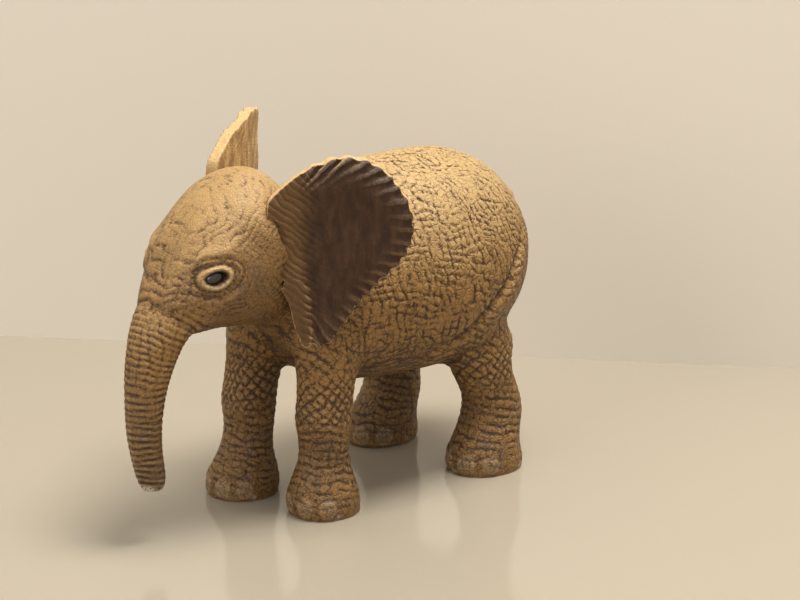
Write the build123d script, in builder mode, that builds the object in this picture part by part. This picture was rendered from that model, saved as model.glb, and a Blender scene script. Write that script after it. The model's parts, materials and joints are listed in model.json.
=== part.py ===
"""A moulded, hand-painted elephant calf figurine, in millimetres.

The calf faces -Y, its left side is +X and it stands on Z = 0. The origin is the middle of its
bounding box, at the bottom. It is built as five solid mouldings that are glued together: the body with
its four legs, the head with its trunk, two ears and a tail. The head has a round plug in the neck, each
ear a flat tab in a slot behind the cheek, and the tail a peg in the rump.
"""
import os
from math import cos, pi, sin

from build123d import *

# --- overall size of the body ---
rump_y = 38.8  # rearmost point of the rump
body_length = 54.6  # rump to the front of the chest
body_width = 35.6  # widest point of the belly
back_height = 54.2  # highest point of the back above the ground
belly_height = 17.6  # lowest point of the belly above the ground

# --- neck joint: one tilted plane that the body and the head share ---
neck_y, neck_z = -14.5, 42.6
neck_tilt = 6.0  # the joint's face looks forward, and up by this angle
neck_half_width, neck_half_height = 9.9, 11.6
neck_plug_radius, neck_plug_length = 4.0, 7.0

# --- head and trunk ---
head_length = 22.4  # neck joint to the foot of the forehead
head_width = 21.4  # across the cheekbones
head_height = 26.0  # jaw to crown
jaw_height = 31.2  # lowest point of the jaw above the ground
trunk_reach = 24.4  # from the neck joint forward to the middle of the trunk
trunk_top, trunk_tip = 41.0, 8.8  # heights of the trunk's root, inside the head, and of its tip
trunk_radius = 3.1  # half way down the trunk
eye_radius = 1.25
eye_spread, eye_y, eye_z = 7.9, -30.9, 43.6

# --- legs ---
foot_radius, ankle_radius = 5.9, 4.3
fore_spread, hind_spread = 7.8, 11.2  # from the middle plane to the middle of a sole
fore_y, hind_y = -10.8, 22.4  # middle of each pair of soles
fore_stride, hind_stride = 2.1, 1.7  # how far one foot of a pair stands ahead of that middle

# --- ears ---
ear_thickness = 1.8
ear_sweep = 55.0  # turned back from straight out sideways
ear_cup_radius = 36.0  # the front face is hollow to this radius
ear_cup_depth = 1.2
ear_width, ear_height = 20.2, 30.3
ear_root = (10.0, -18.3, 29.4)  # the corner that the outline is measured from, below the cheek
ear_tab_thickness, ear_tab_height, ear_tab_depth = 1.2, 9.0, 3.0
ear_tab_rise = 16.0  # middle of the tab above the ear's root
right_ear_shift = (0.4, 0.8, 3.0)  # the right ear is held further in, back and up than the left

# --- tail ---
tail_root_radius, tail_tip_radius = 1.7, 0.8
tail_peg_radius, tail_peg_length = 1.1, 3.5

# --- clearance of the glued joints, all round ---
glue_gap = 0.1


def egg(half_width, half_height, lean=0.0, points=10):
    """Points round a closed section that is wider below its middle by the share lean."""
    turns = [2 * pi * i / points for i in range(points)]
    return [
        (half_width * cos(a) * (1 - lean * sin(a)), half_height * sin(a)) for a in turns
    ]


# The body's sections, from the rump forward. Each gives its place as a share of the length, its top and
# bottom as shares of the height from belly to back, its half width as a share of the width, and its lean.
barrel = [
    (0.00, 0.62, 0.42, 0.10, 0.00),
    (0.03, 0.72, 0.27, 0.21, 0.02),
    (0.10, 0.85, 0.13, 0.335, 0.05),
    (0.22, 0.95, 0.05, 0.440, 0.08),
    (0.38, 0.99, 0.00, 0.495, 0.10),
    (0.55, 0.99, 0.00, 0.490, 0.10),
    (0.72, 0.965, 0.03, 0.440, 0.09),
    (0.86, 0.955, 0.12, 0.365, 0.05),
]
barrel_depth = back_height - belly_height

# A leg's sections, from the sole up: height, place forward of the sole's middle, place inward of it,
# half length and half width.
foreleg = [
    (0.0, 0.2, 0.0, foot_radius, foot_radius * 0.97),
    (2.4, 0.2, 0.0, foot_radius * 1.03, foot_radius),
    (5.4, 0.0, 0.1, foot_radius * 0.9, foot_radius * 0.88),
    (8.6, -0.4, 0.2, ankle_radius, ankle_radius),
    (13.5, -0.8, 0.1, ankle_radius, ankle_radius * 0.98),
    (19.0, -1.2, 0.0, ankle_radius * 1.12, ankle_radius * 1.07),
    (25.0, -2.2, 0.3, ankle_radius * 1.28, ankle_radius * 1.18),
    (31.0, -3.6, 1.0, ankle_radius * 1.35, ankle_radius * 1.16),
    (38.0, -5.6, 2.6, ankle_radius * 1.20, ankle_radius * 0.95),
]
hindleg = [
    (0.0, 0.0, 0.0, foot_radius * 1.12, foot_radius * 0.98),
    (2.4, -0.1, 0.0, foot_radius * 1.15, foot_radius * 1.02),
    (5.6, -0.8, 0.1, foot_radius * 1.00, foot_radius * 0.93),
    (9.5, -2.2, 0.3, ankle_radius * 1.24, ankle_radius * 1.12),
    (13.5, -1.9, 0.4, ankle_radius * 1.17, ankle_radius * 1.07),
    (18.5, -0.2, 0.7, ankle_radius * 1.40, ankle_radius * 1.18),
    (24.0, 1.8, 1.4, ankle_radius * 1.85, ankle_radius * 1.38),
    (31.0, 2.6, 2.6, ankle_radius * 2.10, ankle_radius * 1.45),
]
# Each leg leans so that its top comes level with the top of the other leg of the pair.
legs = [
    (foreleg, fore_spread, fore_y, fore_stride),
    (foreleg, -fore_spread, fore_y, -fore_stride),
    (hindleg, hind_spread, hind_y, hind_stride),
    (hindleg, -hind_spread, hind_y, -hind_stride),
]
lean_height = 40.0  # height at which the two legs of a pair are level

neck_plane = Plane(
    origin=(0, neck_y, neck_z), x_dir=(1, 0, 0), z_dir=(0, -1, 0)
).rotated((-neck_tilt, 0, 0))

# The head's sections, from the neck joint forward: place as a share of the head's length, top and bottom
# as shares of its height, and half width as a share of its width.
skull = [
    (0.17, 1.00, 0.01, 0.495),
    (0.35, 0.97, 0.04, 0.510),
    (0.53, 0.88, 0.06, 0.480),
    (0.69, 0.75, 0.07, 0.420),
    (0.82, 0.59, 0.08, 0.335),
    (0.93, 0.42, 0.10, 0.240),
    (1.00, 0.30, 0.15, 0.110),
]
# The trunk's sections, from the root down: height as a share of its length above the tip, place forward
# of the neck joint as a share of the reach, and its half depth and half width as shares of its radius.
trunk = [
    (1.000, 0.72, 0.90, 1.45),
    (0.875, 0.79, 1.46, 1.66),
    (0.790, 0.845, 1.50, 1.58),
    (0.685, 0.905, 1.34, 1.40),
    (0.565, 0.955, 1.15, 1.20),
    (0.425, 0.985, 0.99, 1.01),
    (0.285, 0.993, 0.89, 0.91),
    (0.160, 0.975, 0.81, 0.83),
    (0.060, 0.950, 0.74, 0.76),
    (0.000, 0.940, 0.50, 0.52),
]
trunk_length = trunk_top - trunk_tip

# The ear's outline, as shares of its width out from the root and of its height up from the root.
ear_outline = [
    (-0.10, 0.815),
    (0.12, 0.924),
    (0.342, 0.987),
    (0.505, 1.0),
    (0.703, 0.962),
    (0.832, 0.888),
    (0.950, 0.772),
    (1.000, 0.645),
    (0.938, 0.490),
    (0.807, 0.380),
    (0.634, 0.250),
    (0.446, 0.110),
    (0.270, 0.0),
    (0.140, 0.030),
    (0.074, 0.106),
    (0.030, 0.240),
    (-0.06, 0.360),
    (-0.14, 0.480),
    (-0.13, 0.670),
]
# The tail's sections: middle as (right of the middle plane, behind the rump, height), radius share from
# tip to root, and dip.
tail_path = [
    (0.0, -0.9, 43.0, 1.00, 35),
    (0.3, 1.0, 39.5, 0.92, 68),
    (0.8, 1.6, 34.5, 0.62, 86),
    (1.4, 1.2, 29.0, 0.30, 97),
    (2.0, 0.2, 23.5, 0.05, 101),
    (2.3, -0.3, 20.5, 0.55, 99),
    (2.5, -0.7, 17.5, 0.45, 97),
    (2.6, -0.9, 15.6, 0.00, 97),
]


def ear_plane(side):
    """The plane an ear's outline lies in: x out and back from the root, y up, facing forward."""
    turn = ear_sweep * pi / 180
    across, back, up = (0, 0, 0) if side > 0 else right_ear_shift
    root = (side * ear_root[0] + across, ear_root[1] + back, ear_root[2] + up)
    facing = (side * sin(turn), -cos(turn), 0)
    return Plane(origin=root, x_dir=(side * cos(turn), sin(turn), 0), z_dir=facing)


def tab_middle(side):
    """Where an ear's tab has its middle, in the ear's plane."""
    return Location((0.3 - ear_tab_depth / 2, side * ear_tab_rise, -ear_tab_thickness / 2))


os.makedirs("parts", exist_ok=True)

with BuildPart() as body:
    for along, top, bottom, half_width, lean in barrel:
        middle = belly_height + barrel_depth * (top + bottom) / 2
        centre = (0, rump_y - along * body_length, middle)
        with BuildSketch(Plane(origin=centre, x_dir=(1, 0, 0), z_dir=(0, -1, 0))):
            with BuildLine():
                Spline(
                    *egg(half_width * body_width, barrel_depth * (top - bottom) / 2, lean),
                    periodic=True,
                )
            make_face()
    with BuildSketch(neck_plane):
        with BuildLine():
            Spline(*egg(neck_half_width, neck_half_height), periodic=True)
        make_face()
    loft()
    for leg, spread, pair_y, stride in legs:
        side = 1 if spread > 0 else -1
        for height, forward, inward, half_length, half_width in leg:
            stepped = stride * (1 - min(1, height / lean_height))
            centre = (spread - side * inward, pair_y + stepped - forward, height)
            with BuildSketch(Plane(origin=centre)):
                with BuildLine():
                    Spline(*egg(half_width, half_length), periodic=True)
                make_face()
        loft()
    # socket for the head's plug
    with Locations(neck_plane):
        Cylinder(
            neck_plug_radius + glue_gap,
            neck_plug_length + 2 * glue_gap,
            align=(Align.CENTER, Align.CENTER, Align.MAX),
            mode=Mode.SUBTRACT,
        )
    # hole for the tail's peg
    with Locations(Location((0, rump_y + tail_path[0][1], tail_path[0][2]), (90, 0, 0))):
        Cylinder(
            tail_peg_radius + glue_gap,
            2 * (tail_peg_length + glue_gap),
            mode=Mode.SUBTRACT,
        )

with BuildPart() as head:
    with BuildSketch(neck_plane):
        with BuildLine():
            Spline(*egg(neck_half_width, neck_half_height), periodic=True)
        make_face()
    for along, top, bottom, half_width in skull:
        middle = jaw_height + head_height * (top + bottom) / 2
        centre = (0, neck_y - along * head_length, middle)
        with BuildSketch(Plane(origin=centre, x_dir=(1, 0, 0), z_dir=(0, -1, 0))):
            with BuildLine():
                Spline(
                    *egg(half_width * head_width, head_height * (top - bottom) / 2),
                    periodic=True,
                )
            make_face()
    loft()
    for share, forward, half_depth, half_width in trunk:
        centre = (0, neck_y - forward * trunk_reach, trunk_tip + share * trunk_length)
        with BuildSketch(Plane(origin=centre)):
            with BuildLine():
                Spline(*egg(half_width * trunk_radius, half_depth * trunk_radius), periodic=True)
            make_face()
    loft()
    for side in (1, -1):
        with Locations((side * eye_spread, eye_y, eye_z)):
            Sphere(eye_radius)
    # plug that goes into the neck
    with Locations(neck_plane):
        Cylinder(
            neck_plug_radius,
            neck_plug_length,
            align=(Align.CENTER, Align.CENTER, Align.MAX),
        )
    # slots for the tabs of the ears
    for side in (1, -1):
        with Locations(ear_plane(side).location * tab_middle(side)):
            Box(
                ear_tab_depth + 0.6 + 2 * glue_gap,
                ear_tab_height + 2 * glue_gap,
                ear_tab_thickness + 2 * glue_gap,
                mode=Mode.SUBTRACT,
            )

cup_axis = ear_plane(1).from_local_coords((ear_width / 2, 0, ear_cup_radius - ear_cup_depth))

with BuildPart() as ear_plate:
    with BuildSketch(ear_plane(1).offset(-8)):
        with BuildLine():
            Spline(*[(u * ear_width, v * ear_height) for u, v in ear_outline], periodic=True)
        make_face()
    extrude(amount=16)
    # keep only the cupped plate, a piece of a tube's wall
    with BuildSketch(Plane(origin=(cup_axis.X, cup_axis.Y, ear_root[2] - 5))):
        Circle(ear_cup_radius + ear_thickness)
        Circle(ear_cup_radius, mode=Mode.SUBTRACT)
    extrude(amount=ear_height + 10, mode=Mode.INTERSECT)

right_plate = mirror(ear_plate.part, about=Plane.YZ)

with BuildPart() as left_ear:
    add(ear_plate.part)
    add(body.part, mode=Mode.SUBTRACT)
    add(head.part, mode=Mode.SUBTRACT)
    with Locations(ear_plane(1).location * tab_middle(1)):
        Box(ear_tab_depth + 0.6, ear_tab_height, ear_tab_thickness)

with BuildPart() as right_ear:
    with Locations(right_ear_shift):
        add(right_plate)
    add(body.part, mode=Mode.SUBTRACT)
    add(head.part, mode=Mode.SUBTRACT)
    with Locations(ear_plane(-1).location * tab_middle(-1)):
        Box(ear_tab_depth + 0.6, ear_tab_height, ear_tab_thickness)

with BuildPart() as tail:
    for right, behind, height, share, dip in tail_path:
        radius = tail_tip_radius + share * (tail_root_radius - tail_tip_radius)
        origin = (-right, rump_y + behind, height)
        plane = Plane(origin=origin, x_dir=(1, 0, 0), z_dir=(0, 1, 0)).rotated((-dip, 0, 0))
        with BuildSketch(plane):
            Circle(radius)
    loft()
    add(body.part, mode=Mode.SUBTRACT)
    with Locations(Location((0, rump_y + tail_path[0][1], tail_path[0][2]), (90, 0, 0))):
        Cylinder(
            tail_peg_radius,
            tail_peg_length,
            align=(Align.CENTER, Align.CENTER, Align.MIN),
        )

body.part.label = "body"
head.part.label = "head"
left_ear.part.label = "left_ear"
right_ear.part.label = "right_ear"
tail.part.label = "tail"

export_step(body.part, "parts/body.step")
export_step(head.part, "parts/head.step")
export_step(left_ear.part, "parts/left_ear.step")
export_step(right_ear.part, "parts/right_ear.step")
export_step(tail.part, "parts/tail.step")
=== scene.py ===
"""The looks of a moulded, hand-painted elephant calf figurine that stands on a shelf.

Lengths inside the sculpting functions are in millimetres, in the part's own frame: the calf faces -Y, its
left side is +X and it stands on Z = 0.
"""
import json
import math

import bmesh
import bpy
import numpy as np
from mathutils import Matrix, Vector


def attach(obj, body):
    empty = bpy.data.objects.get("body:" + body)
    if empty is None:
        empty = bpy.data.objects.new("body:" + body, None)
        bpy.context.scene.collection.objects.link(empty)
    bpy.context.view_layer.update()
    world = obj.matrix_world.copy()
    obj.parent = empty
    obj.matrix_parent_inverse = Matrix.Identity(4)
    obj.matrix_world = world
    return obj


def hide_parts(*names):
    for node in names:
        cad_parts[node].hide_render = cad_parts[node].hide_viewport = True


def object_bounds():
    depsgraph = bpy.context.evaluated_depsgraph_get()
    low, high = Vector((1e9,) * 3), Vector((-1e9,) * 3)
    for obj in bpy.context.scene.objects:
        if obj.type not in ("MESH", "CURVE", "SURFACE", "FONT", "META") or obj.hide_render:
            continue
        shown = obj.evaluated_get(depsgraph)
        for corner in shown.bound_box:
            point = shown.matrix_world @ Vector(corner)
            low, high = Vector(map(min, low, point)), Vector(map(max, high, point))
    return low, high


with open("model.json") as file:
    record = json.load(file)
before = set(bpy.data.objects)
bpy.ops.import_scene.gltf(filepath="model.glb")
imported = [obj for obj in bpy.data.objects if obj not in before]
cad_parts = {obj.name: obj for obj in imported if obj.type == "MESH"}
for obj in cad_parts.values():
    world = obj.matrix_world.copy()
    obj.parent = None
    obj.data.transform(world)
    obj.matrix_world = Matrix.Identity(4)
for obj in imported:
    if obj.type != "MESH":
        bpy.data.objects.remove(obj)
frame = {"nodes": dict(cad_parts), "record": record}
cad_low, cad_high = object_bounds()
MM = 0.001

# ---------------------------------------------------------------- helpers for shapes


def smoothstep(low, high, value):
    t = np.clip((value - low) / (high - low), 0, 1)
    return t * t * (3 - 2 * t)


LATTICE = np.random.default_rng(7).normal(size=(32, 32, 32, 3))
LATTICE /= np.linalg.norm(LATTICE, axis=-1, keepdims=True)


def waver(points, size, shift=0.0):
    """Smooth gradient noise from about -1 to 1, with lumps of the given size."""
    p = points / size + shift
    cell = np.floor(p).astype(int)
    f = p - cell
    fade = f * f * f * (f * (f * 6 - 15) + 10)
    total = np.zeros(len(points))
    for dx in (0, 1):
        for dy in (0, 1):
            for dz in (0, 1):
                corner = np.array([dx, dy, dz])
                i = (cell + corner) % 32
                g = LATTICE[i[:, 0], i[:, 1], i[:, 2]]
                w = np.prod(np.where(corner, fade, 1 - fade), axis=1)
                total += w * np.einsum("ij,ij->i", g, f - corner)
    return total * 1.6


def folds(coord, spacing, sharp=2.5):
    """1 along evenly spaced folds of a coordinate, falling quickly to 0 between them."""
    return (1 - np.abs(np.sin(math.pi * coord / spacing))) ** sharp


def remeshed(name, nodes, voxel):
    """One closed, even mesh round copies of some CAD nodes."""
    bm = bmesh.new()
    for node in nodes:
        bm.from_mesh(frame["nodes"][node].data)
    bmesh.ops.remove_doubles(bm, verts=bm.verts, dist=1e-7)
    mesh = bpy.data.meshes.new(name + "_rough")
    bm.to_mesh(mesh)
    bm.free()
    rough = bpy.data.objects.new(name + "_rough", mesh)
    bpy.context.scene.collection.objects.link(rough)
    remesh = rough.modifiers.new("even", "REMESH")
    remesh.mode = "VOXEL"
    remesh.voxel_size = voxel * MM
    depsgraph = bpy.context.evaluated_depsgraph_get()
    even = bpy.data.meshes.new_from_object(rough.evaluated_get(depsgraph))
    bpy.data.objects.remove(rough)
    even.name = name
    keep_largest_shell(even)
    piece = bpy.data.objects.new(name, even)
    bpy.context.scene.collection.objects.link(piece)
    return piece


def keep_largest_shell(mesh):
    """Keeps the shell with the most points and drops any others."""
    bm = bmesh.new()
    bm.from_mesh(mesh)
    unseen = set(bm.verts)
    shells = []
    while unseen:
        start = unseen.pop()
        shell, edge_front = [start], [start]
        while edge_front:
            vert = edge_front.pop()
            for edge in vert.link_edges:
                other = edge.other_vert(vert)
                if other in unseen:
                    unseen.discard(other)
                    shell.append(other)
                    edge_front.append(other)
        shells.append(shell)
    shells.sort(key=len)
    for shell in shells[:-1]:
        bmesh.ops.delete(bm, geom=shell, context="VERTS")
    bm.to_mesh(mesh)
    bm.free()


def points_of(mesh):
    co = np.zeros(len(mesh.vertices) * 3)
    mesh.vertices.foreach_get("co", co)
    return co.reshape(-1, 3) / MM


def put_points(mesh, points):
    mesh.vertices.foreach_set("co", (points * MM).astype(np.float32).ravel())
    mesh.update()


def normals_of(mesh):
    n = np.zeros(len(mesh.vertices) * 3)
    mesh.vertices.foreach_get("normal", n)
    return n.reshape(-1, 3)


def edges_of(mesh):
    e = np.zeros(len(mesh.edges) * 2, int)
    mesh.edges.foreach_get("vertices", e)
    return e.reshape(-1, 2)


def relax(points, edges, rounds, weight=1.0, grow=0.0):
    """Moves each point towards the middle of its neighbours, round after round. With grow, every other
    round pushes back out, so that thin parts keep their size."""
    count = len(points)
    degree = np.bincount(edges.ravel(), minlength=count)[:, None].clip(1)
    for turn in range(rounds):
        total = np.zeros_like(points)
        for axis in range(3):
            total[:, axis] = np.bincount(edges[:, 0], points[edges[:, 1], axis], count)
            total[:, axis] += np.bincount(edges[:, 1], points[edges[:, 0], axis], count)
        share = -grow if grow and turn % 2 else 0.5
        points = points + share * np.reshape(weight, (-1, 1)) * (total / degree - points)
    return points


def mark(mesh, name, values):
    attribute = mesh.attributes.new(name, "FLOAT", "POINT")
    attribute.data.foreach_set("value", np.clip(values, 0, 1).astype(np.float32))


def shade_smooth(mesh):
    mesh.polygons.foreach_set("use_smooth", np.ones(len(mesh.polygons), bool))
    mesh.update()


# ---------------------------------------------------------------- the skin: body, legs, head, trunk, tail
SKIN_VOXEL = 0.345
EYE = np.array([8.2, -30.4, 43.2])
EYE_HALF_LENGTH, EYE_HALF_HEIGHT = 1.65, 1.10
EYE_SLOPE = (0.94, 0.34)  # the long axis of the lids runs back and up
SOLES = [np.array(m["pos_m"]) / MM for m in frame["record"]["mounts"]]
BARREL_RADIUS, BARREL_MIDDLE = 17.0, 36
LEG_RADIUS, FOOT_RADIUS, TRUNK_RADIUS = 4.6, 6.0, 3.0
TRUNK_MIDDLE = -38.3
NAIL_ANGLES = (-58, -20, 18, 55)
KEEP_SIZE = 0.52  # how hard an outward round pushes back when a mesh is evened out


def hump(value, middle, width):
    """A smooth rise that is 1 at its middle."""
    return np.exp(-(((value - middle) / width) ** 2))


def within_cad(points):
    return np.clip(points, np.array(cad_low) / MM, np.array(cad_high) / MM)


class SkinPoints:
    """The skin's points, and what its sub-parts share about each of them."""

    def __init__(self, p):
        self.p = p
        self.x, self.y, self.z = x, y, z = p.T
        self.side = np.sign(x)
        self.ax = np.abs(x)
        self.trunk = smoothstep(41, 34, z - 0.3 * (y + 36)) * smoothstep(-29.5, -33, y)
        self.head = smoothstep(-12, -19, y) * smoothstep(27, 31, z) * (1 - self.trunk)
        self.leg = smoothstep(29, 20, z) * (1 - self.trunk) * smoothstep(-27, -22, y)
        self.barrel = (1 - self.trunk) * (1 - self.head) * (1 - self.leg)
        # wandering and gaps that keep the folds from looking ruled
        self.drift_a = 1.5 * waver(p, 6.0) + 0.55 * waver(p, 2.2, 5.3)
        self.drift_b = 1.5 * waver(p, 6.0, 11.7) + 0.55 * waver(p, 2.2, 17.9)
        self.broken_a = smoothstep(-0.45, 0.25, waver(p, 3.2, 23.1))
        self.broken_b = smoothstep(-0.45, 0.25, waver(p, 3.2, 31.3))
        self.find_feet()
        self.find_eyes()

    def find_feet(self):
        """How far each point lies from its foot's middle, and at what angle from straight ahead."""
        self.from_foot = np.full(len(self.p), 1e9)
        self.foot_angle = np.zeros(len(self.p))
        for sole in SOLES:
            ahead = -(self.y - sole[1])
            aside = self.x - sole[0]
            away = np.hypot(aside, ahead)
            mine = away < self.from_foot
            self.from_foot = np.where(mine, away, self.from_foot)
            self.foot_angle = np.where(mine, np.arctan2(aside, ahead), self.foot_angle)

    def find_eyes(self):
        """Places along and across the lids, and rings round the eye, where 1 is the edge of the opening."""
        back, up = self.y - EYE[1], self.z - EYE[2]
        self.along_lid = back * EYE_SLOPE[0] + up * EYE_SLOPE[1]
        self.across_lid = -back * EYE_SLOPE[1] + up * EYE_SLOPE[0]
        self.face_side = smoothstep(3.5, 6.0, self.ax) * smoothstep(-20, -24, self.y)
        rings = np.hypot(self.along_lid / EYE_HALF_LENGTH, self.across_lid / EYE_HALF_HEIGHT)
        self.eye_ring = rings + 10 * (1 - self.face_side)


def barrel_folds(s):
    """Rings round the barrel and lines along it, diagonal over the rump and slanting on the neck."""
    girth = np.arctan2(s.z - BARREL_MIDDLE, s.x + 1e-6) * s.side * BARREL_RADIUS
    rump = smoothstep(8, 34, s.y)
    rings = s.y + 0.10 * s.z + 0.40 * rump * (s.z - 40) + s.drift_a
    lines = girth + 0.18 * s.y + s.drift_b
    net = 0.90 * folds(rings, 1.50) * s.broken_a + 0.85 * folds(lines, 1.30) * s.broken_b
    net += 0.5 * folds(rings + 0.4 * lines + s.drift_b, 2.6, 4) * (1 - s.broken_a)
    neck = smoothstep(-2, -12, s.y) * smoothstep(-24, -18, s.y)
    slanting = folds(s.z + 1.15 * s.y + 1.4 * s.drift_a, 2.3, 2)
    return net * (1 - 0.55 * neck) + neck * 1.15 * slanting * (0.4 + 0.6 * s.broken_b)


def leg_folds(s):
    """A net of slanting folds high up that turns into rings towards the foot."""
    high = smoothstep(11, 19, s.z)
    around = LEG_RADIUS * s.foot_angle
    ringed = folds(s.z + 0.16 * s.y + 0.75 * s.drift_a, 1.35, 2.2) * (0.35 + 0.65 * s.broken_a)
    rising = folds(s.z + around + 0.8 * s.drift_a, 1.9, 2.5)
    falling = folds(s.z - around + 0.8 * s.drift_b, 2.0, 2.5)
    net = np.maximum(rising, falling)
    upright = folds(around + s.drift_b, 1.7, 3) * s.broken_b
    leg = (1 - high) * (0.95 * ringed + 0.4 * upright) + high * (0.95 * net + 0.35 * ringed)
    return leg * (smoothstep(0.6, 4.5, s.z) * 0.75 + 0.25)


def trunk_folds(s):
    """Close rings, with long lines at the top of the trunk."""
    bend = smoothstep(22, 34, s.z)
    down = s.z + 0.5 * bend * (s.y + 38.5) + 0.35 * s.drift_a
    around = np.arctan2(s.x, TRUNK_MIDDLE - s.y + 0.1 * (s.z - 20)) * TRUNK_RADIUS
    rings = folds(down, 1.04, 1.4) * (0.55 + 0.45 * s.broken_a)
    return rings + 0.55 * folds(around + 0.5 * s.drift_b, 1.25, 3) * smoothstep(20, 32, s.z)


def head_folds(s):
    """Fine crossing lines, with rings round the eyes."""
    brow_lines = s.z * 0.75 - s.y * 0.65 + s.drift_a
    cheek_lines = s.z * 0.65 + s.y * 0.75 + s.drift_b
    head = 0.70 * folds(brow_lines, 0.95, 1.8) * (0.35 + 0.65 * s.broken_a)
    head += 0.35 * folds(cheek_lines, 1.2, 2.2) * s.broken_b
    head += 0.35 * folds(s.x + s.drift_b * 0.7, 1.5, 3) * smoothstep(-22, -30, s.y)
    near_eye = smoothstep(4.6, 1.6, s.eye_ring)
    rings = folds(s.eye_ring + 0.12 * s.drift_a, 0.42, 1.6)
    return head * (1 - 0.8 * near_eye) + 0.75 * near_eye * rings


def body_forms(s):
    """Soft lumps, thigh, shoulder, elbow, backbone and knees, as a push along the surface's normal."""
    push = 0.22 * waver(s.p, 7.0, 41.0) * (1 - s.trunk)
    # the fold from the upper hip down and forward to the belly, with the thigh standing out behind it
    fold_z = 22.5 + 0.5 * (s.y - 8) + 0.0125 * np.clip(s.y - 8, 0, 40) ** 2
    above_fold = s.z - fold_z - 0.4 * waver(s.p, 5.0, 77.0)
    hip = smoothstep(8, 13, s.ax) * smoothstep(5, 11, s.y) * smoothstep(33, 26, s.y)
    push -= 0.75 * hump(above_fold, 0, 0.9) * hip
    push += 0.55 * hump(above_fold, -2.8, 2.0) * hip
    flank = smoothstep(8, 12, s.ax)
    push += 0.5 * hump(s.y, -5, 3.6) * hump(s.z, 33, 7.0) * flank
    push -= 0.30 * hump(s.y + 0.2 * (s.z - 27), 1.8, 1.5) * hump(s.z, 25, 4.5) * flank
    push += 0.35 * hump(s.x, 0, 2.2) * smoothstep(46, 50, s.z) * smoothstep(-10, 0, s.y)
    push += 0.35 * hump(s.z, 15.5, 2.6) * smoothstep(-0.2, 0.8, np.cos(s.foot_angle)) * s.leg
    return push


def eye_forms(s):
    """Brow, pouch under the eye, socket, lids and the folds round them."""
    push = 0.55 * hump(s.along_lid, 0, 3.6) * hump(s.across_lid, 3.1, 1.15) * s.face_side
    push += 0.40 * hump(s.along_lid, 0, 3.4) * hump(s.across_lid, -3.9, 1.6) * s.face_side
    push -= 1.1 * smoothstep(1.02, 0.70, s.eye_ring)
    push += 0.34 * hump(s.eye_ring, 1.22, 0.24)
    push -= 0.30 * hump(s.eye_ring, 1.80, 0.22) * smoothstep(-0.9, 0.2, s.across_lid)
    push -= 0.18 * hump(s.eye_ring, 2.5, 0.25)
    return push


def face_forms(s, normals):
    """Temple hollow, cheek pads, the two ridges down to the trunk, and the moulding line."""
    push = -0.55 * hump(s.y, -24.0, 2.6) * hump(s.z, 47.5, 3.0) * s.face_side
    push += 0.65 * hump(s.y, -32.5, 3.4) * hump(s.z, 35.0, 2.0) * smoothstep(1.5, 4, s.ax)
    push += 0.30 * hump(s.ax, 3.2, 1.1) * smoothstep(36, 40, s.z) * smoothstep(-26, -31, s.y)
    between_ridges = smoothstep(38, 42, s.z) * smoothstep(52, 48, s.z) * smoothstep(-24, -30, s.y)
    push -= 0.22 * hump(s.x, 0, 1.3) * between_ridges
    faces_ahead = smoothstep(0.15, 0.6, -normals[:, 1])
    push += 0.10 * hump(s.x, 0, 0.25) * faces_ahead * smoothstep(-24, -28, s.y)
    return push


def toenails(s):
    """1 on the toenails."""
    nail = np.zeros(len(s.p))
    for angle in NAIL_ANGLES:
        off = (s.foot_angle - math.radians(angle)) * FOOT_RADIUS
        nail = np.maximum(nail, smoothstep(1.75, 1.15, np.hypot(off, (s.z - 2.0) / 1.15)))
    return nail * smoothstep(8.5, 7.5, s.from_foot) * smoothstep(6, 5, s.z) * smoothstep(-27, -22, s.y)


def mark_skin(mesh, edges, s, crease, nail):
    """Leaves on the mesh where each paint goes, painted shade and painted top light among them."""
    p, n = points_of(mesh), normals_of(mesh)
    # how far a point stands out of its surroundings
    out = np.einsum("ij,ij->i", p - relax(p, edges, 8, 1.0), n)
    # the wash in the wrinkles is the figurine's own paint; the extra darkening of every hollow by how deep
    # it sinks is painted shade
    mark(mesh, "groove", 0.75 * crease + np.clip(-out * 4.0, -0.6, 0.9))
    mark(mesh, "ridge", out * 7.0)
    # painted top light: upward faces high on the calf are painted lighter, less so on the head
    painted_top_light = smoothstep(-0.1, 0.85, n[:, 2]) * smoothstep(26, 50, s.z)
    mark(mesh, "painted_top_light", painted_top_light * (1 - 0.45 * s.head))
    # painted shade: the inner sides of the legs, the sides of the head and the downward faces are painted
    # darker; the legs and the trunk are also painted darker towards the bottom
    inner = smoothstep(0.15, 0.75, -n[:, 0] * s.side) * smoothstep(26, 20, s.z) * (s.ax > 1.5)
    dark = np.maximum(0.62 * inner * (1 - s.trunk), 0.50 * smoothstep(26, 12, s.z))
    dark = np.maximum(dark, 0.62 * s.head * smoothstep(0.75, 0.15, n[:, 2]))
    dark = np.maximum(dark, s.trunk * smoothstep(36, 14, s.z))
    dark = np.maximum(dark, 0.8 * smoothstep(0.1, 0.8, -n[:, 2]))
    mark(mesh, "dark", dark)
    mark(mesh, "nail", nail)
    mark(mesh, "netting", s.barrel + 0.8 * s.leg + 0.15 * s.trunk + 0.22 * s.head)
    worn = smoothstep(0.35, 0.75, waver(p, 1.7, 61.0)) * smoothstep(2.2, 0.6, s.z)
    trunk_tip = hump(s.z, 9.4, 0.8) * hump(s.x, 0.8, 1.2) * s.trunk
    mark(mesh, "worn", np.maximum(worn * 0.8, smoothstep(0.35, 0.6, trunk_tip)))
    mark(mesh, "lid", hump(s.eye_ring, 1.12, 0.16) * smoothstep(0.3, -0.5, s.across_lid))
    mark(mesh, "socket", smoothstep(1.08, 0.92, s.eye_ring))


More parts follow.
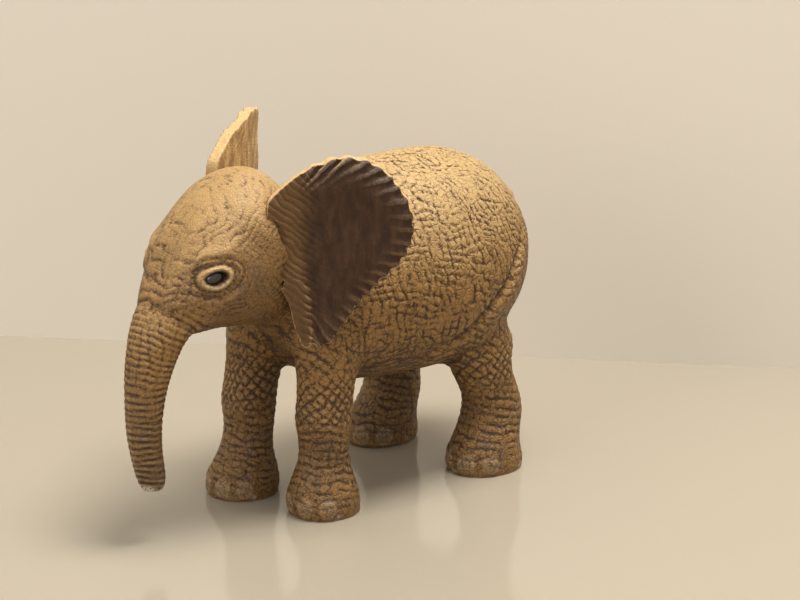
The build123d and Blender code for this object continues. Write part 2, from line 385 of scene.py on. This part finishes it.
def sculpt_skin(piece):
    mesh = piece.data
    edges = edges_of(mesh)
    p = points_of(mesh)
    # soft blends where legs and neck join the barrel, everything else only evened out
    tail_zone = smoothstep(38.5, 39.4, p[:, 1]) * smoothstep(4.5, 3.5, np.abs(p[:, 0]))
    blend = smoothstep(13, 19, p[:, 2]) * smoothstep(-31, -25, p[:, 1]) * (1 - tail_zone)
    p = relax(p, edges, 12, 0.9, grow=KEEP_SIZE)
    p = relax(p, edges, 70, blend * 0.9)
    p = relax(p, edges, 10, (1 - tail_zone) * 0.9, grow=KEEP_SIZE)
    # flatten the plain domes of the eyes, which get lids and sockets below
    from_eye = np.sqrt((np.abs(p[:, 0]) - EYE[0]) ** 2 + (p[:, 1] - EYE[1]) ** 2 + (p[:, 2] - EYE[2]) ** 2)
    p = relax(p, edges, 150, smoothstep(4.2, 2.6, from_eye) * 0.95)
    put_points(mesh, p)
    n = normals_of(mesh)
    s = SkinPoints(p)
    crease = s.barrel * barrel_folds(s) + s.leg * leg_folds(s)
    crease += s.trunk * trunk_folds(s) + s.head * head_folds(s)
    crease = np.clip(crease, 0, 1.3)
    depth = 0.27 * s.barrel + 0.34 * s.leg + 0.28 * s.trunk + 0.19 * s.head
    nail = toenails(s)
    push = body_forms(s) + eye_forms(s) + face_forms(s, n) + 0.20 * nail - depth * crease
    push *= smoothstep(0.15, 0.9, s.z) * (1 - 0.75 * tail_zone)
    p = relax(p + n * push[:, None], edges, 1, 0.35)
    p = within_cad(p)
    # the soles stay flat on the ground
    p[s.z < 0.25, 2] = 0.0
    put_points(mesh, p)
    shade_smooth(mesh)
    mark_skin(mesh, edges, s, crease, nail)


skin = remeshed("calf_skin", ["body", "head", "tail"], SKIN_VOXEL)
sculpt_skin(skin)

# ---------------------------------------------------------------- the eyes


def eye_ball(name, side):
    bm = bmesh.new()
    bmesh.ops.create_uvsphere(bm, u_segments=48, v_segments=24, radius=1.0)
    bmesh.ops.scale(bm, verts=bm.verts, vec=(0.85 * MM, 1.42 * MM, 0.95 * MM))
    tilt = math.radians(20)
    turn = math.radians(-22 * side)
    for vert in bm.verts:
        cx, cy, cz = vert.co
        cy, cz = cy * math.cos(tilt) - cz * math.sin(tilt), cy * math.sin(tilt) + cz * math.cos(tilt)
        cx, cy = cx * math.cos(turn) - cy * math.sin(turn), cx * math.sin(turn) + cy * math.cos(turn)
        vert.co = (cx + side * 7.62 * MM, cy + EYE[1] * MM, cz + EYE[2] * MM)
    mesh = bpy.data.meshes.new(name)
    bm.to_mesh(mesh)
    bm.free()
    piece = bpy.data.objects.new(name, mesh)
    bpy.context.scene.collection.objects.link(piece)
    shade_smooth(mesh)
    return piece


eyes = [eye_ball("left_eye", 1), eye_ball("right_eye", -1)]

# ---------------------------------------------------------------- the ears
EAR_SWEEP = math.radians(55)
EAR_ROOT = {1: np.array([10.0, -18.3, 29.4]), -1: np.array([-9.6, -17.5, 32.4])}


def sculpt_ear(piece, side):
    mesh = piece.data
    edges = edges_of(mesh)
    p = points_of(mesh)
    p = relax(p, edges, 10, 0.9, grow=KEEP_SIZE)
    put_points(mesh, p)
    n = normals_of(mesh)
    out = np.array([side * math.cos(EAR_SWEEP), math.sin(EAR_SWEEP), 0])
    facing = np.array([side * math.sin(EAR_SWEEP), -math.cos(EAR_SWEEP), 0])
    local = p - EAR_ROOT[side]
    u, v = local @ out, local[:, 2]
    front = n @ facing
    # share of the way from the ear's middle to its margin
    middle_u, middle_v = 8.0, 17.0
    angle = np.arctan2(v - middle_v, u - middle_u)
    radius = np.hypot(u - middle_u, v - middle_v)
    sector = ((angle + math.pi) / (2 * math.pi) * 180).astype(int) % 180
    reach = np.zeros(180)
    np.maximum.at(reach, sector, radius)
    reach = np.maximum(reach, np.roll(reach, 1))
    share = radius / reach[sector]
    free = smoothstep(1.0, 5.0, u)
    margin = smoothstep(0.62, 0.97, share) * free
    # ridges that fan out from the root towards the margin
    fan = np.arctan2(v - 18.5, u + 4.0)
    wob = 0.55 * waver(p, 4.0, 3.0) + 0.3 * waver(p, 1.6, 9.0)
    ribs = 0.5 + 0.5 * np.sin(fan * 66 + 2.6 * wob)
    rib_mask = margin * (0.45 + 0.55 * smoothstep(-0.4, 0.3, waver(p, 3.0, 71.0)))
    push = np.zeros(len(p))
    seen = smoothstep(0.1, 0.7, front)
    back = smoothstep(0.1, 0.7, -front)
    push += seen * (0.42 * (ribs - 0.5) * rib_mask)
    push += back * 0.10 * (ribs - 0.5) * rib_mask
    # veins of the cup and soft lumps
    push += seen * 0.16 * waver(p, 3.4, 13.0)
    push -= seen * 0.30 * smoothstep(0.75, 0.2, share)
    # the folded front margin, down to the lobe
    fold = np.exp(-(((u - 2.0 - 0.10 * np.clip(12 - v, 0, 12)) / 1.0) ** 2)) * smoothstep(15, 9, v)
    near_root = smoothstep(6.5, 3.0, u) * seen
    push -= 0.26 * near_root * folds(v + 0.9 * u + 1.2 * wob, 1.3, 1.8)
    push += seen * 0.75 * fold
    push -= seen * 0.45 * np.exp(-(((u - 4.6) / 0.9) ** 2)) * smoothstep(15, 9, v)
    p = p + n * push[:, None]
    # wavy margin, and the whole ear ripples a little
    notch = 0.16 * np.sin(fan * 66 + 2.6 * wob) + 0.25 * waver(p, 3.0, 29.0)
    away = np.outer(np.cos(angle), out) + np.outer(np.sin(angle), [0, 0, 1])
    p = p + away * (notch * margin - 0.28 * margin)[:, None]
    ripple = 0.55 * np.sin(fan * 5.5 + 0.8) * smoothstep(0.55, 1.0, share) * free
    p = p + np.outer(ripple, facing)
    p = relax(p, edges, 1, 0.3)
    if side < 0:
        p = p + np.array([1.1, 1.1, 0.0]) * smoothstep(8, 22, v)[:, None]
    p = within_cad(p)
    put_points(mesh, p)
    shade_smooth(mesh)
    n = normals_of(mesh)
    front = n @ facing
    mark(mesh, "front", smoothstep(0.25, 0.75, front))
    mark(mesh, "rim", smoothstep(0.80, 0.35, np.abs(front)) * smoothstep(0.80, 0.93, share))
    mark(mesh, "ribs", np.clip(ribs, 0, 1))
    mark(mesh, "margin", margin)
    mark(mesh, "upper", smoothstep(20, 27, v) * margin)
    mark(mesh, "root", np.maximum(smoothstep(4.6, 1.2, u), 0.7 * fold))
    return piece


ears = []
for name, side in (("left_ear", 1), ("right_ear", -1)):
    ear = remeshed(name + "_skin", [name], 0.165)
    sculpt_ear(ear, side)
    ears.append((ear, name))

# ---------------------------------------------------------------- paint
TAN = (0.300, 0.160, 0.046)
# painted top light: the lighter tan of upward faces
TOP_LIT_TAN = (0.480, 0.325, 0.145)
# painted shade: the darker tan of shaded parts, also used for the darker low parts
SHADED_LOW_TAN = (0.200, 0.110, 0.040)
DARK_WASH = (0.076, 0.033, 0.010)
# painted shade: the darker wash of shaded parts, also used for the darker low parts
SHADED_LOW_WASH = (0.050, 0.024, 0.010)
# dry brushing, stronger on upward faces as painted top light
DRY_BRUSH_AND_TOP_LIGHT = (0.640, 0.455, 0.230)
GREY_PATCH = (0.120, 0.088, 0.078)
NAIL_HORN = (0.430, 0.330, 0.215)
BARE_PLASTIC = (0.560, 0.500, 0.440)
EYELID = (0.520, 0.370, 0.210)
SOCKET_BROWN = (0.030, 0.016, 0.010)
EAR_BACK_STREAK = (0.290, 0.170, 0.068)
EAR_BACK = (0.560, 0.375, 0.160)
EAR_CUP_DARK = (0.036, 0.015, 0.006)
EAR_CUP = (0.075, 0.034, 0.014)
# painted highlight on the ear's ribs
EAR_RIB_HIGHLIGHT = (0.230, 0.135, 0.064)
# painted highlight on the ribs near the top of the ear
EAR_UPPER_RIB_HIGHLIGHT = (0.235, 0.200, 0.185)
EAR_ROOT_TAN = (0.165, 0.085, 0.030)
EAR_RIM = (0.560, 0.385, 0.185)
EYE_BLACK = (0.012, 0.008, 0.006)
EYE_BROWN = (0.040, 0.022, 0.013)


def new_paint(name):
    material = bpy.data.materials.new(name)
    material.use_nodes = True
    tree = material.node_tree
    return material, tree, tree.nodes["Principled BSDF"]


def add(tree, kind, **values):
    node = tree.nodes.new(kind)
    for key, value in values.items():
        setattr(node, key, value)
    return node


def value_of(tree, source, node, key):
    if isinstance(source, (int, float)):
        node.inputs[key].default_value = source
    else:
        tree.links.new(source, node.inputs[key])


def math_step(tree, operation, first, second):
    node = add(tree, "ShaderNodeMath", operation=operation)
    value_of(tree, first, node, 0)
    value_of(tree, second, node, 1)
    return node.outputs[0]


def times(tree, first, *others):
    for other in others:
        first = math_step(tree, "MULTIPLY", first, other)
    return first


def plus(tree, first, *others):
    for other in others:
        first = math_step(tree, "ADD", first, other)
    return first


def inverse(tree, source):
    return math_step(tree, "SUBTRACT", 1.0, source)


def between(tree, source, low, high, start=0.0, end=1.0):
    node = add(tree, "ShaderNodeMapRange", interpolation_type="SMOOTHSTEP")
    tree.links.new(source, node.inputs["Value"])
    node.inputs["From Min"].default_value = low
    node.inputs["From Max"].default_value = high
    node.inputs["To Min"].default_value = start
    node.inputs["To Max"].default_value = end
    return node.outputs["Result"]


def blend_colours(tree, factor, first, second):
    node = add(tree, "ShaderNodeMix", data_type="RGBA")
    value_of(tree, factor, node, 0)
    for socket, colour in ((node.inputs[6], first), (node.inputs[7], second)):
        if isinstance(colour, tuple):
            socket.default_value = (*colour, 1)
        else:
            tree.links.new(colour, socket)
    return node.outputs[2]


def painted_value(tree, name):
    return add(tree, "ShaderNodeAttribute", attribute_name=name).outputs["Fac"]


def object_mm(tree, scale=(1, 1, 1)):
    where = add(tree, "ShaderNodeTexCoord")
    mapping = add(tree, "ShaderNodeMapping")
    mapping.inputs["Scale"].default_value = [1000 * s for s in scale]
    tree.links.new(where.outputs["Object"], mapping.inputs["Vector"])
    return mapping.outputs["Vector"]


def speckle(tree, vector, scale, detail=3.0, rough=0.55):
    node = add(tree, "ShaderNodeTexNoise")
    tree.links.new(vector, node.inputs["Vector"])
    node.inputs["Scale"].default_value = scale
    node.inputs["Detail"].default_value = detail
    node.inputs["Roughness"].default_value = rough
    return node


def warped(tree, vector, scale, amount):
    noise = speckle(tree, vector, scale, 2.0)
    centre = add(tree, "ShaderNodeVectorMath", operation="SUBTRACT")
    tree.links.new(noise.outputs["Color"], centre.inputs[0])
    centre.inputs[1].default_value = (0.5, 0.5, 0.5)
    longer = add(tree, "ShaderNodeVectorMath", operation="SCALE")
    tree.links.new(centre.outputs[0], longer.inputs[0])
    longer.inputs["Scale"].default_value = amount
    total = add(tree, "ShaderNodeVectorMath", operation="ADD")
    tree.links.new(vector, total.inputs[0])
    tree.links.new(longer.outputs[0], total.inputs[1])
    return total.outputs[0]


def cracks(tree, vector, scale, width):
    """0 in the net of cracks between cells, 1 on the cells."""
    node = add(tree, "ShaderNodeTexVoronoi", feature="DISTANCE_TO_EDGE")
    tree.links.new(vector, node.inputs["Vector"])
    node.inputs["Scale"].default_value = scale
    return between(tree, node.outputs["Distance"], 0.0, width)


def skin_wash(tree, mm, wide, fine, netting):
    """How deep the dark wash lies: 0 on the tops and 1 deep in a wrinkle. The wash in the wrinkles is the
    figurine's own paint; painted shade deepens it in hollows, underneath, between the legs, on the sides of
    the head and in the darker low parts, and painted top light thins it on upward faces.
    """
    patch = speckle(tree, mm, 0.16, 4.0).outputs["Fac"]
    net = times(tree, inverse(tree, wide), netting, 0.40)
    small = times(tree, inverse(tree, fine), 0.30)
    patches = times(tree, math_step(tree, "SUBTRACT", patch, 0.5), 0.7)
    in_folds = times(tree, painted_value(tree, "groove"), 0.80)
    # painted shade and the darker low parts deepen the wash
    shaded_and_low = times(tree, painted_value(tree, "dark"), 0.26)
    wash = plus(tree, in_folds, net, small, patches, shaded_and_low)
    # painted top light thins the wash on upward faces
    wash = math_step(tree, "SUBTRACT", wash, times(tree, painted_value(tree, "painted_top_light"), 0.20))
    return between(tree, wash, 0.06, 0.98)


def dry_brush_and_top_light(tree, grain):
    """Bright dry-brush paint on what stands out, laid on stronger on upward faces as painted top light."""
    speckled = times(tree, math_step(tree, "SUBTRACT", grain, 0.5), 0.9)
    tops = between(tree, plus(tree, painted_value(tree, "ridge"), speckled), 0.30, 0.95)
    return times(tree, tops, plus(tree, times(tree, painted_value(tree, "painted_top_light"), 0.55), 0.30))


def roughen(tree, shader, height, strength, distance):
    """Fine relief, too small for the mesh."""
    bump = add(tree, "ShaderNodeBump")
    bump.inputs["Strength"].default_value = strength
    bump.inputs["Distance"].default_value = distance
    tree.links.new(height, bump.inputs["Height"])
    tree.links.new(bump.outputs["Normal"], shader.inputs["Normal"])


def skin_paint():
    material, tree, shader = new_paint("tan_skin_paint")
    mm = object_mm(tree)
    wide = cracks(tree, warped(tree, mm, 0.45, 1.5), 0.80, 0.14)
    fine = cracks(tree, warped(tree, mm, 1.1, 0.8), 1.55, 0.22)
    grain = speckle(tree, mm, 3.2, 4.0, 0.65).outputs["Fac"]
    netting = painted_value(tree, "netting")
    painted_top_light, dark = painted_value(tree, "painted_top_light"), painted_value(tree, "dark")
    # painted top light: upward faces take the lighter tan
    tan = blend_colours(tree, painted_top_light, TAN, TOP_LIT_TAN)
    # painted shade and the darker low parts take a darker tan and a darker wash
    tan = blend_colours(tree, between(tree, dark, 0.1, 1.0, 0.0, 0.72), tan, SHADED_LOW_TAN)
    deep = blend_colours(tree, dark, DARK_WASH, SHADED_LOW_WASH)
    colour = blend_colours(tree, skin_wash(tree, mm, wide, fine, netting), tan, deep)
    # dry brushing on the ridges, stronger on upward faces as painted top light
    colour = blend_colours(tree, dry_brush_and_top_light(tree, grain), colour, DRY_BRUSH_AND_TOP_LIGHT)
    cool = between(tree, speckle(tree, mm, 0.33, 3.0).outputs["Fac"], 0.52, 0.68)
    colour = blend_colours(tree, times(tree, cool, dark, 0.40), colour, GREY_PATCH)
    nails = times(tree, painted_value(tree, "nail"), between(tree, grain, 0.42, 0.64, 0.05, 0.42))
    colour = blend_colours(tree, nails, colour, NAIL_HORN)
    worn = times(tree, painted_value(tree, "worn"), between(tree, grain, 0.42, 0.55))
    colour = blend_colours(tree, worn, colour, BARE_PLASTIC)
    colour = blend_colours(tree, times(tree, painted_value(tree, "lid"), 0.55), colour, EYELID)
    colour = blend_colours(tree, times(tree, painted_value(tree, "socket"), 0.9), colour, SOCKET_BROWN)
    tree.links.new(colour, shader.inputs["Base Color"])
    tree.links.new(between(tree, grain, 0.3, 0.7, 0.40, 0.60), shader.inputs["Roughness"])
    shader.inputs["Specular IOR Level"].default_value = 0.38
    cells = times(tree, wide, netting, 0.70)
    height = plus(tree, cells, times(tree, fine, 0.35), times(tree, grain, 0.30))
    roughen(tree, shader, height, 0.75, 0.00016)
    return material


def ear_cup_colour(tree, streak, grain):
    """The ear's dark front, with painted highlights on the ribs towards the margin, greyer near the top, and
    a tan root.
    """
    inside = blend_colours(tree, between(tree, streak, 0.30, 0.75), EAR_CUP_DARK, EAR_CUP)
    ribs = between(tree, painted_value(tree, "ribs"), 0.55, 0.95)
    # painted highlights on the ribs towards the margin
    lit = times(tree, ribs, painted_value(tree, "margin"), between(tree, grain, 0.35, 0.60, 0.25, 0.8))
    inside = blend_colours(tree, times(tree, lit, 0.75), inside, EAR_RIB_HIGHLIGHT)
    inside = blend_colours(tree, times(tree, painted_value(tree, "upper"), lit), inside, EAR_UPPER_RIB_HIGHLIGHT)
    return blend_colours(tree, times(tree, painted_value(tree, "root"), 0.80), inside, EAR_ROOT_TAN)


def ear_paint():
    material, tree, shader = new_paint("ear_paint")
    mm = object_mm(tree)
    grain = speckle(tree, mm, 2.8, 4.0, 0.65).outputs["Fac"]
    streak = speckle(tree, object_mm(tree, (1, 1, 0.35)), 0.9, 4.0).outputs["Fac"]
    fine = cracks(tree, warped(tree, mm, 1.0, 0.8), 1.3, 0.22)
    behind = blend_colours(tree, between(tree, streak, 0.35, 0.70), EAR_BACK_STREAK, EAR_BACK)
    inside = ear_cup_colour(tree, streak, grain)
    colour = blend_colours(tree, painted_value(tree, "front"), behind, inside)
    edge = times(tree, painted_value(tree, "rim"), between(tree, grain, 0.32, 0.58, 0.45, 1.0))
    colour = blend_colours(tree, edge, colour, EAR_RIM)
    tree.links.new(colour, shader.inputs["Base Color"])
    tree.links.new(between(tree, grain, 0.3, 0.7, 0.42, 0.60), shader.inputs["Roughness"])
    shader.inputs["Specular IOR Level"].default_value = 0.3
    height = plus(tree, times(tree, fine, 0.45), times(tree, grain, 0.55))
    roughen(tree, shader, height, 0.6, 0.00012)
    return material


def eye_paint():
    material, tree, shader = new_paint("glossy_eye_paint")
    mm = object_mm(tree)
    cloud = speckle(tree, mm, 1.5, 3.0).outputs["Fac"]
    colour = blend_colours(tree, between(tree, cloud, 0.4, 0.7), EYE_BLACK, EYE_BROWN)
    tree.links.new(colour, shader.inputs["Base Color"])
    shader.inputs["Roughness"].default_value = 0.22
    shader.inputs["Coat Weight"].default_value = 0.6
    return material


skin.data.materials.clear()
skin.data.materials.append(skin_paint())
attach(skin, "root")
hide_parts("body", "head", "tail")
ear_material = ear_paint()
for ear, name in ears:
    ear.data.materials.clear()
    ear.data.materials.append(ear_material)
    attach(ear, "root")
    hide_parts(name)
eye_material = eye_paint()
for eye in eyes:
    eye.data.materials.append(eye_material)
    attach(eye, "root")

# ---------------------------------------------------------------- shelf, wall, camera and lamps
AZIMUTH, ELEVATION = math.radians(47), math.radians(17)
TARGET = np.array([0.0, 0.0151, 0.0285])
LEVEL = math.cos(ELEVATION)
BACK = np.array([math.sin(AZIMUTH) * LEVEL, -math.cos(AZIMUTH) * LEVEL, math.sin(ELEVATION)])
AWAY = np.array([-math.sin(AZIMUTH), math.cos(AZIMUTH), 0.0])
SIDEWAYS = np.array([math.cos(AZIMUTH), math.sin(AZIMUTH), 0.0])


def flat_sheet(name, middle, across, up, width, height):
    bm = bmesh.new()
    bmesh.ops.create_grid(bm, x_segments=1, y_segments=1, size=0.5)
    for vert in bm.verts:
        vert.co = middle + across * vert.co.x * width + up * vert.co.y * height
    mesh = bpy.data.meshes.new(name)
    bm.to_mesh(mesh)
    bm.free()
    sheet = bpy.data.objects.new(name, mesh)
    bpy.context.scene.collection.objects.link(sheet)
    return sheet


def plain_paint(name, colour, rough, level=0.5):
    material, tree, shader = new_paint(name)
    shader.inputs["Base Color"].default_value = (*colour, 1)
    shader.inputs["Roughness"].default_value = rough
    shader.inputs["Specular IOR Level"].default_value = level
    return material


shelf = flat_sheet("shelf", np.zeros(3), np.array([1.0, 0, 0]), np.array([0, 1.0, 0]), 4.0, 4.0)
shelf.data.materials.append(plain_paint("pale_shelf", (0.38, 0.34, 0.27), 0.11, 0.5))
wall_turn = math.radians(7.4)
wall_across = SIDEWAYS * math.cos(wall_turn) - AWAY * math.sin(wall_turn)
wall_middle = TARGET * np.array([1, 1, 0]) + AWAY * 0.059
wall = flat_sheet("wall", wall_middle + np.array([0, 0, 0.49]), wall_across, np.array([0, 0, 1.0]), 3.0, 1.0)
wall.data.materials.append(plain_paint("pale_wall", (0.76, 0.70, 0.61), 0.85, 0.2))

camera_data = bpy.data.cameras.new("camera")
camera_data.lens = 113.4
camera_data.sensor_width = 36.0
camera_data.clip_start = 0.01
camera_data.clip_end = 20.0
camera = bpy.data.objects.new("camera", camera_data)
bpy.context.scene.collection.objects.link(camera)
camera.location = TARGET + BACK * 0.420
camera.rotation_euler = (math.pi / 2 - ELEVATION, 0.0, AZIMUTH)
bpy.context.scene.camera = camera


def soft_lamp(name, place, aim, size, power, colour):
    data = bpy.data.lights.new(name, "AREA")
    data.shape = "DISK"
    data.size = size
    data.energy = power
    data.color = colour
    lamp = bpy.data.objects.new(name, data)
    bpy.context.scene.collection.objects.link(lamp)
    lamp.location = place
    direction = [a - b for a, b in zip(aim, place)]
    flat = math.hypot(direction[0], direction[1])
    lamp.rotation_euler = (math.atan2(flat, -direction[2]), 0.0, math.atan2(-direction[0], direction[1]))
    return lamp


KEY_PLACE = TARGET + SIDEWAYS * 0.10 - AWAY * 0.02 + np.array([0, 0, 0.46])
FILL_PLACE = TARGET - SIDEWAYS * 0.45 - AWAY * 0.40 + np.array([0, 0, 0.25])
soft_lamp("key_lamp", KEY_PLACE, TARGET, 0.22, 3.2, (1.0, 0.95, 0.87))
soft_lamp("fill_lamp", FILL_PLACE, TARGET, 0.4, 0.9, (1.0, 0.96, 0.91))
world = bpy.data.worlds.new("room")
bpy.context.scene.world = world
world.use_nodes = True
world.node_tree.nodes["Background"].inputs["Color"].default_value = (1.0, 0.96, 0.91, 1)
world.node_tree.nodes["Background"].inputs["Strength"].default_value = 0.71
bpy.context.scene.view_settings.view_transform = "Standard"
